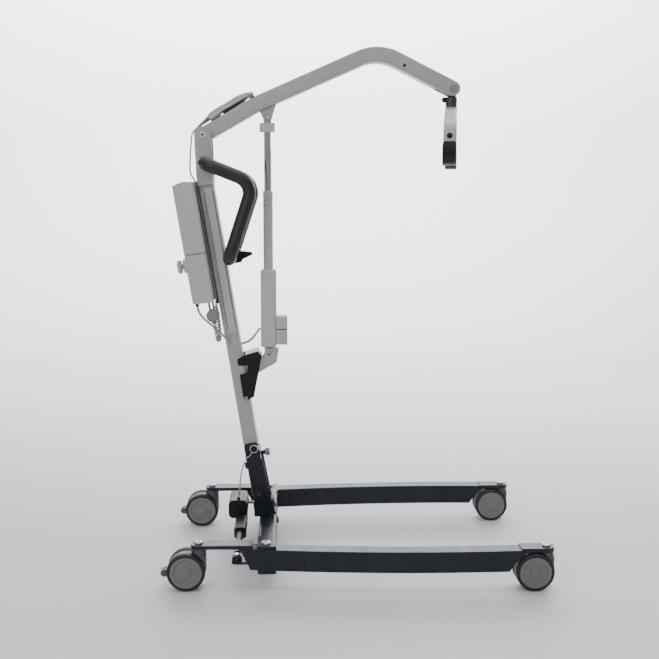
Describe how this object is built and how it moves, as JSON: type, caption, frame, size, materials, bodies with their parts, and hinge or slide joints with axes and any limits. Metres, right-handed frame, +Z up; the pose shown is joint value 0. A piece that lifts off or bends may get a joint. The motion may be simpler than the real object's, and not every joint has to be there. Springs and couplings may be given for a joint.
{
  "type": "patient lift hoist",
  "caption": "Wheeled patient lifting hoist: spreading legs on casters, leaning mast with push handle and control box, actuator-driven boom, hanging spreader bar with sling hooks, handset.",
  "frame": {"origin": "on the floor, in the middle of the hoist plan", "axes": "+X towards the open end of the legs, +Z up, the right-hand leg at -Y"},
  "size_m": [1.0249, 0.588, 1.4056],
  "materials": {
    "frame_paint": "satin warm grey paint",
    "base_paint": "satin anthracite paint",
    "bolt_steel": "zinc-plated, satin",
    "rod_chrome": "polished",
    "box_plastic": "light grey moulded",
    "black_metal": "satin black",
    "black_plastic": "fine grain",
    "grip_foam": "closed-cell foam",
    "actuator_plastic": "light grey moulded",
    "hanger_metal": "satin dark grey",
    "spreader_paint": "satin light grey paint",
    "cord_jacket": "smooth light grey jacket",
    "caster_plastic": "moulded nylon",
    "tyre": "grey-black polyurethane",
    "hub_plastic": "mid grey moulded"
  },
  "bodies": {
    "base": {"cross_member": "base_paint", "mast_socket": "base_paint", "pivot_bolts": "bolt_steel", "leg_cable": "cord_jacket"},
    "right_leg_body": {"right_leg": "base_paint", "right_leg_bolts": "bolt_steel"},
    "left_leg_body": {"left_leg": "base_paint", "left_leg_bolts": "bolt_steel"},
    "spread_motor_body": {"spread_motor": "black_plastic"},
    "spread_rod_body": {"spread_rod": "black_metal"},
    "mast_body": {"mast": "frame_paint", "cable_cover": "box_plastic", "mast_screws": "bolt_steel", "box_bracket": "black_metal", "control_unit": "box_plastic", "handset_plug": "black_plastic", "handle_tube": "black_metal", "handle_grips": "grip_foam", "handle_clamp": "black_metal", "park_bracket": "black_metal", "actuator_bracket": "bolt_steel", "handset_cord": "cord_jacket", "handset_coil": "cord_jacket", "actuator_cable": "cord_jacket"},
    "battery_body": {"battery": "box_plastic"},
    "stop_button_body": {"stop_button": "box_plastic"},
    "clamp_lever_body": {"clamp_lever": "black_plastic"},
    "locking_knob_body": {"locking_knob": "actuator_plastic"},
    "locking_pin_body": {"locking_pin": "bolt_steel"},
    "boom_body": {"boom": "frame_paint", "boom_pins": "bolt_steel", "handset": "actuator_plastic"},
    "boom_rocker_body": {"boom_rocker": "black_plastic"},
    "leg_rocker_body": {"leg_rocker": "black_plastic"},
    "actuator_body": {"actuator_housing": "actuator_plastic", "actuator_motor": "actuator_plastic", "actuator_tube": "actuator_plastic", "actuator_lead": "cord_jacket"},
    "actuator_rod_body": {"actuator_rod": "rod_chrome", "actuator_head": "actuator_plastic"},
    "hanger_body": {"hanger": "hanger_metal"},
    "latch_knob_body": {"latch_knob": "black_plastic"},
    "spreader_body": {"spreader_bar": "spreader_paint", "spreader_hooks": "black_metal"},
    "left_latch_body": {"left_hook_latch": "black_metal"},
    "right_latch_body": {"right_hook_latch": "black_metal"},
    "left_rear_caster_swivel": {"left_rear_caster_housing": "caster_plastic"},
    "left_rear_caster_wheels": {"left_rear_caster_tyres": "tyre", "left_rear_caster_hubs": "hub_plastic"},
    "left_rear_caster_pedal": {"left_rear_caster_brake": "black_plastic"},
    "left_front_caster_swivel": {"left_front_caster_housing": "caster_plastic"},
    "left_front_caster_wheels": {"left_front_caster_tyres": "tyre", "left_front_caster_hubs": "hub_plastic"},
    "right_rear_caster_swivel": {"right_rear_caster_housing": "caster_plastic"},
    "right_rear_caster_wheels": {"right_rear_caster_tyres": "tyre", "right_rear_caster_hubs": "hub_plastic"},
    "right_rear_caster_pedal": {"right_rear_caster_brake": "black_plastic"},
    "right_front_caster_swivel": {"right_front_caster_housing": "caster_plastic"},
    "right_front_caster_wheels": {"right_front_caster_tyres": "tyre", "right_front_caster_hubs": "hub_plastic"}
  },
  "joints": [
    {"name": "right_leg_spread", "type": "hinge", "parent": "base", "child": "right_leg_body", "pos_m": [-0.237, -0.243, 0.08], "axis": [0, 0, 1], "range_deg": [-12, 0]},
    {"name": "left_leg_spread", "type": "hinge", "parent": "base", "child": "left_leg_body", "pos_m": [-0.237, 0.243, 0.08], "axis": [0, 0, 1], "range_deg": [0, 12]},
    {"name": "spread_motor_slide", "type": "slide", "parent": "base", "child": "spread_motor_body", "axis": [0, 1, 0], "range_m": [-0.0161, 0], "deforming": ["leg_cable"]},
    {"name": "spread_rod_slide", "type": "slide", "parent": "spread_motor_body", "child": "spread_rod_body", "axis": [0, 1, 0], "range_m": [0, 0.0322]},
    {"name": "mast_fold", "type": "hinge", "parent": "base", "child": "mast_body", "pos_m": [-0.2606, 0, 0.184], "axis": [0, 1, 0], "range_deg": [0, 65]},
    {"name": "locking_knob_turn", "type": "hinge", "parent": "mast_body", "child": "locking_knob_body", "pos_m": [-0.2441, 0, 0.2938], "axis": [0.9877, 0, 0.1564], "continuous": true},
    {"name": "locking_pin_pull", "type": "slide", "parent": "mast_body", "child": "locking_pin_body", "axis": [0, -1, 0], "range_m": [0, 0.09]},
    {"name": "boom_lift", "type": "hinge", "parent": "mast_body", "child": "boom_body", "pos_m": [-0.403, 0, 1.175], "axis": [0, 1, 0], "range_deg": [-16, 42], "deforming": ["handset_cord"]},
    {"name": "actuator_tilt", "type": "hinge", "parent": "mast_body", "child": "actuator_body", "pos_m": [-0.231, 0, 0.5785], "axis": [0, 1, 0], "range_deg": [-1, 1], "deforming": ["actuator_lead"]},
    {"name": "actuator_extend", "type": "slide", "parent": "actuator_body", "child": "actuator_rod_body", "axis": [0, 0, 1], "range_m": [-0.13, 0.05]},
    {"name": "spreader_swing", "type": "hinge", "parent": "boom_body", "child": "hanger_body", "pos_m": [0.265, 0, 1.2985], "axis": [0, 1, 0], "range_deg": [-45, 28]},
    {"name": "spreader_swivel", "type": "hinge", "parent": "hanger_body", "child": "spreader_body", "pos_m": [0.265, 0, 1.25], "axis": [0, 0, 1], "continuous": true},
    {"name": "latch_knob_pull", "type": "slide", "parent": "hanger_body", "child": "latch_knob_body", "axis": [-1, 0, 0], "range_m": [0, 0.006], "stiffness_N_per_m": 400, "springref_m": -0.002},
    {"name": "left_latch_open", "type": "hinge", "parent": "spreader_body", "child": "left_latch_body", "pos_m": [0.30243, 0.20196, 1.147], "axis": [0.9833, -0.1822, 0], "range_deg": [-35, 0], "stiffness_Nm_per_rad": 0.15, "springref_deg": 17.19},
    {"name": "right_latch_open", "type": "hinge", "parent": "spreader_body", "child": "right_latch_body", "pos_m": [0.22757, -0.20196, 1.147], "axis": [0.9833, -0.1822, 0], "range_deg": [0, 35], "stiffness_Nm_per_rad": 0.15, "springref_deg": -17.19},
    {"name": "battery_tilt", "type": "hinge", "parent": "mast_body", "child": "battery_body", "pos_m": [-0.4561, 0, 0.8557], "axis": [0, 1, 0], "range_deg": [-20, 0]},
    {"name": "stop_press", "type": "slide", "parent": "mast_body", "child": "stop_button_body", "axis": [0.9877, 0, 0.1564], "range_m": [0, 0.004], "stiffness_N_per_m": 1500, "springref_m": -0.001},
    {"name": "clamp_lever_lift", "type": "hinge", "parent": "mast_body", "child": "clamp_lever_body", "pos_m": [-0.30963, 0, 0.85155], "axis": [0, 1, 0], "range_deg": [-50, 0]},
    {"name": "boom_rocker_press", "type": "hinge", "parent": "boom_body", "child": "boom_rocker_body", "pos_m": [-0.36059, 0, 1.24806], "axis": [0, 1, 0], "range_deg": [-3, 3], "stiffness_Nm_per_rad": 1},
    {"name": "leg_rocker_press", "type": "hinge", "parent": "boom_body", "child": "leg_rocker_body", "pos_m": [-0.3267, 0, 1.26735], "axis": [0, 1, 0], "range_deg": [-3, 3], "stiffness_Nm_per_rad": 1},
    {"name": "left_rear_caster_swivel_turn", "type": "hinge", "parent": "left_leg_body", "child": "left_rear_caster_swivel", "pos_m": [-0.413, 0.24, 0.1], "axis": [0, 0, 1], "continuous": true},
    {"name": "left_rear_caster_roll", "type": "hinge", "parent": "left_rear_caster_swivel", "child": "left_rear_caster_wheels", "pos_m": [-0.445, 0.24, 0.05], "axis": [0, 1, 0], "continuous": true},
    {"name": "left_rear_caster_brake_press", "type": "hinge", "parent": "left_rear_caster_swivel", "child": "left_rear_caster_pedal", "pos_m": [-0.478, 0.24, 0.042], "axis": [0, 1, 0], "range_deg": [-10, 0]},
    {"name": "left_front_caster_swivel_turn", "type": "hinge", "parent": "left_leg_body", "child": "left_front_caster_swivel", "pos_m": [0.492, 0.264, 0.1], "axis": [0, 0, 1], "continuous": true},
    {"name": "left_front_caster_roll", "type": "hinge", "parent": "left_front_caster_swivel", "child": "left_front_caster_wheels", "pos_m": [0.46, 0.264, 0.05], "axis": [0, 1, 0], "continuous": true},
    {"name": "right_rear_caster_swivel_turn", "type": "hinge", "parent": "right_leg_body", "child": "right_rear_caster_swivel", "pos_m": [-0.413, -0.24, 0.1], "axis": [0, 0, 1], "continuous": true},
    {"name": "right_rear_caster_roll", "type": "hinge", "parent": "right_rear_caster_swivel", "child": "right_rear_caster_wheels", "pos_m": [-0.445, -0.24, 0.05], "axis": [0, 1, 0], "continuous": true},
    {"name": "right_rear_caster_brake_press", "type": "hinge", "parent": "right_rear_caster_swivel", "child": "right_rear_caster_pedal", "pos_m": [-0.478, -0.24, 0.042], "axis": [0, 1, 0], "range_deg": [-10, 0]},
    {"name": "right_front_caster_swivel_turn", "type": "hinge", "parent": "right_leg_body", "child": "right_front_caster_swivel", "pos_m": [0.492, -0.264, 0.1], "axis": [0, 0, 1], "continuous": true},
    {"name": "right_front_caster_roll", "type": "hinge", "parent": "right_front_caster_swivel", "child": "right_front_caster_wheels", "pos_m": [0.46, -0.264, 0.05], "axis": [0, 1, 0], "continuous": true}
  ],
  "couplings": [
    {"joint": "left_leg_spread", "follows": "right_leg_spread", "ratio": -1},
    {"joint": "spread_motor_slide", "follows": "right_leg_spread", "m_per_rad": 0.0765},
    {"joint": "spread_rod_slide", "follows": "right_leg_spread", "m_per_rad": -0.153},
    {"joint": "actuator_tilt", "follows": "boom_lift", "ratio": 0.005},
    {"joint": "actuator_extend", "follows": "boom_lift", "m_per_rad": -0.171}
  ]
}
